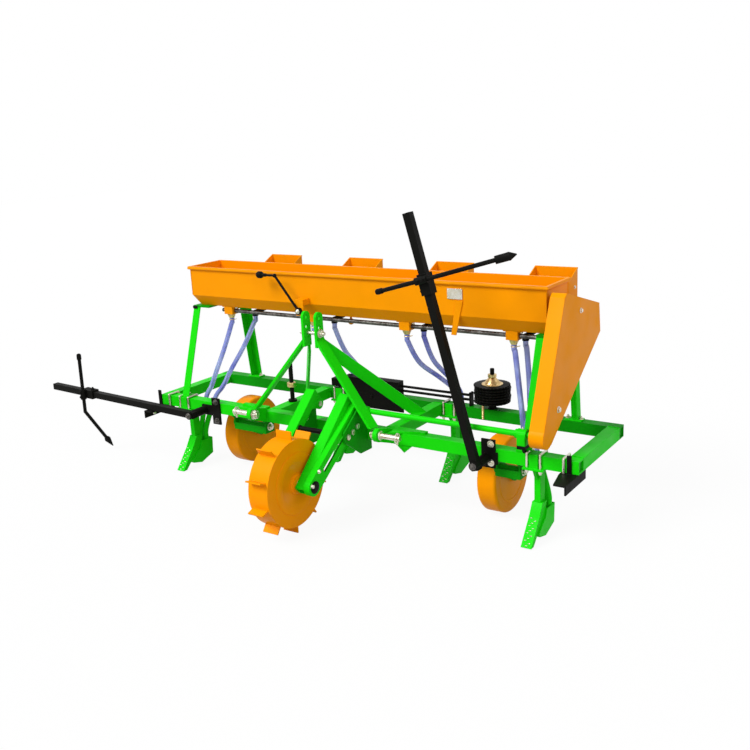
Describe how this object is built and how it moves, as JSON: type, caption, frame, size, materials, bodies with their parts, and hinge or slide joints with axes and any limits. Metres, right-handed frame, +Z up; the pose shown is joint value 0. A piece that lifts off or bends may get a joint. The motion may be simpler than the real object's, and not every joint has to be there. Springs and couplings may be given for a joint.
{
  "type": "four-row planter",
  "caption": "tractor-mounted row planter with a long fertiliser hopper, seed boxes, lugged drive wheel, gauge wheels, tines and folding row markers",
  "frame": {"origin": "middle of the overall outline, on the floor", "axes": "+Z up, +Y to the rear, away from the tractor, +X to the right of someone who faces the machine from the tractor"},
  "size_m": [2.808, 1.1256, 1.2512],
  "materials": {
    "green_paint": "gloss",
    "dark_green_paint": "gloss",
    "orange_paint": "gloss",
    "black_paint": "satin",
    "zinc": "satin",
    "brass": "satin",
    "hose": "gloss"
  },
  "bodies": {
    "frame": {"front_bar": "green_paint", "rear_bar": "dark_green_paint", "side_bars": "green_paint", "inner_beam_left": "green_paint", "inner_beam_right": "green_paint", "hitch_lugs": "green_paint", "hitch_gussets": "green_paint", "mast_plates": "green_paint", "mast_legs": "green_paint", "mast_braces": "green_paint", "mast_bolt": "zinc", "lower_link_pins": "zinc", "linch_pins": "zinc", "hopper_posts": "green_paint", "hopper_bearers": "dark_green_paint", "hopper": "orange_paint", "hopper_fittings": "orange_paint", "seed_boxes": "orange_paint", "seed_meters": "black_paint", "fertiliser_meters": "orange_paint", "fertiliser_funnels": "brass", "shaft_bearing": "black_paint", "chain_guard": "orange_paint", "upper_chain": "black_paint", "seed_chain": "black_paint", "drive_brackets": "dark_green_paint", "bracket_bolts": "zinc", "tine_shanks": "green_paint", "tine_shares": "green_paint", "tine_boots": "green_paint", "u_bolts": "zinc", "gauge_brackets": "dark_green_paint", "depth_spindle": "black_paint", "marker_brackets": "black_paint", "marker_rests": "black_paint", "footboard": "black_paint", "spare_plates": "black_paint", "hoses": "hose"},
    "drive_arm": {"drive_arms": "green_paint", "arm_chain_guard": "green_paint", "arm_chain": "black_paint"},
    "drive_wheel": {"drive_wheel": "orange_paint", "drive_axle": "zinc"},
    "cross_shaft": {"cross_shaft": "green_paint"},
    "fertiliser_shaft": {"fertiliser_shaft": "zinc"},
    "seed_shaft": {"seed_shaft": "zinc"},
    "seed_plate_1": {"seed_plate_1": "black_paint"},
    "seed_plate_2": {"seed_plate_2": "black_paint"},
    "seed_plate_3": {"seed_plate_3": "black_paint"},
    "seed_plate_4": {"seed_plate_4": "black_paint"},
    "gauge_arm_left": {"gauge_arm_left": "dark_green_paint"},
    "gauge_arm_right": {"gauge_arm_right": "dark_green_paint"},
    "gauge_wheel_left": {"gauge_wheel_left": "orange_paint"},
    "gauge_wheel_right": {"gauge_wheel_right": "orange_paint"},
    "marker_arm_left": {"marker_arm_left": "black_paint"},
    "marker_arm_right": {"marker_arm_right": "black_paint"},
    "marker_rod_left": {"marker_rod_left": "black_paint"},
    "marker_rod_right": {"marker_rod_right": "black_paint"},
    "feed_lever": {"feed_lever": "black_paint"}
  },
  "joints": [
    {"name": "drive_arm_float", "type": "hinge", "parent": "frame", "child": "drive_arm", "pos_m": [0.33902, -0.03425, 0.438], "axis": [1, 0, 0], "range_deg": [-12, 3]},
    {"name": "drive_wheel_spin", "type": "hinge", "parent": "drive_arm", "child": "drive_wheel", "pos_m": [0.33302, -0.35925, 0.213], "axis": [1, 0, 0], "continuous": true},
    {"name": "cross_shaft_spin", "type": "hinge", "parent": "frame", "child": "cross_shaft", "pos_m": [0.73902, -0.03425, 0.438], "axis": [1, 0, 0], "continuous": true},
    {"name": "fertiliser_shaft_spin", "type": "hinge", "parent": "frame", "child": "fertiliser_shaft", "pos_m": [0.33902, 0.19375, 0.75], "axis": [1, 0, 0], "continuous": true},
    {"name": "seed_shaft_spin", "type": "hinge", "parent": "frame", "child": "seed_shaft", "pos_m": [0.33902, 0.42675, 0.776], "axis": [1, 0, 0], "continuous": true},
    {"name": "seed_plate_1_spin", "type": "hinge", "parent": "frame", "child": "seed_plate_1", "pos_m": [-0.29048, 0.42675, 0.8], "axis": [0, 0, 1], "continuous": true},
    {"name": "seed_plate_2_spin", "type": "hinge", "parent": "frame", "child": "seed_plate_2", "pos_m": [0.17452, 0.42675, 0.8], "axis": [0, 0, 1], "continuous": true},
    {"name": "seed_plate_3_spin", "type": "hinge", "parent": "frame", "child": "seed_plate_3", "pos_m": [0.63952, 0.42675, 0.8], "axis": [0, 0, 1], "continuous": true},
    {"name": "seed_plate_4_spin", "type": "hinge", "parent": "frame", "child": "seed_plate_4", "pos_m": [1.10452, 0.42675, 0.8], "axis": [0, 0, 1], "continuous": true},
    {"name": "gauge_height_left", "type": "hinge", "parent": "frame", "child": "gauge_arm_left", "pos_m": [-0.30098, 0.07075, 0.25], "axis": [1, 0, 0], "range_deg": [-12, 14]},
    {"name": "gauge_wheel_left_spin", "type": "hinge", "parent": "gauge_arm_left", "child": "gauge_wheel_left", "pos_m": [-0.36098, 0.23075, 0.16], "axis": [1, 0, 0], "continuous": true},
    {"name": "gauge_height_right", "type": "hinge", "parent": "frame", "child": "gauge_arm_right", "pos_m": [1.04902, 0.07075, 0.25], "axis": [1, 0, 0], "range_deg": [-12, 14]},
    {"name": "gauge_wheel_right_spin", "type": "hinge", "parent": "gauge_arm_right", "child": "gauge_wheel_right", "pos_m": [0.98902, 0.23075, 0.16], "axis": [1, 0, 0], "continuous": true},
    {"name": "marker_left_fold", "type": "hinge", "parent": "frame", "child": "marker_arm_left", "pos_m": [-0.43398, -0.09625, 0.312], "axis": [0, 1, 0], "range_deg": [0, 103.8]},
    {"name": "marker_right_fold", "type": "hinge", "parent": "frame", "child": "marker_arm_right", "pos_m": [1.03602, -0.09625, 0.312], "axis": [0, 1, 0], "range_deg": [0, 103.8]},
    {"name": "marker_left_reach", "type": "slide", "parent": "marker_arm_left", "child": "marker_rod_left", "axis": [-0.9996, 0, 0.0279], "range_m": [-0.25, 0.2]},
    {"name": "marker_right_reach", "type": "slide", "parent": "marker_arm_right", "child": "marker_rod_right", "axis": [-0.2656, 0, 0.9641], "range_m": [-0.25, 0.2]},
    {"name": "feed_lever_turn", "type": "hinge", "parent": "frame", "child": "feed_lever", "pos_m": [0.09402, 0.09175, 0.8], "axis": [0, 1, 0], "range_deg": [-15, 20]}
  ],
  "couplings": [
    {"joint": "cross_shaft_spin", "follows": "drive_wheel_spin", "ratio": 1},
    {"joint": "fertiliser_shaft_spin", "follows": "drive_wheel_spin", "ratio": 1},
    {"joint": "seed_shaft_spin", "follows": "drive_wheel_spin", "ratio": 1},
    {"joint": "seed_plate_1_spin", "follows": "drive_wheel_spin", "ratio": 0.5},
    {"joint": "seed_plate_2_spin", "follows": "drive_wheel_spin", "ratio": 0.5},
    {"joint": "seed_plate_3_spin", "follows": "drive_wheel_spin", "ratio": 0.5},
    {"joint": "seed_plate_4_spin", "follows": "drive_wheel_spin", "ratio": 0.5}
  ]
}
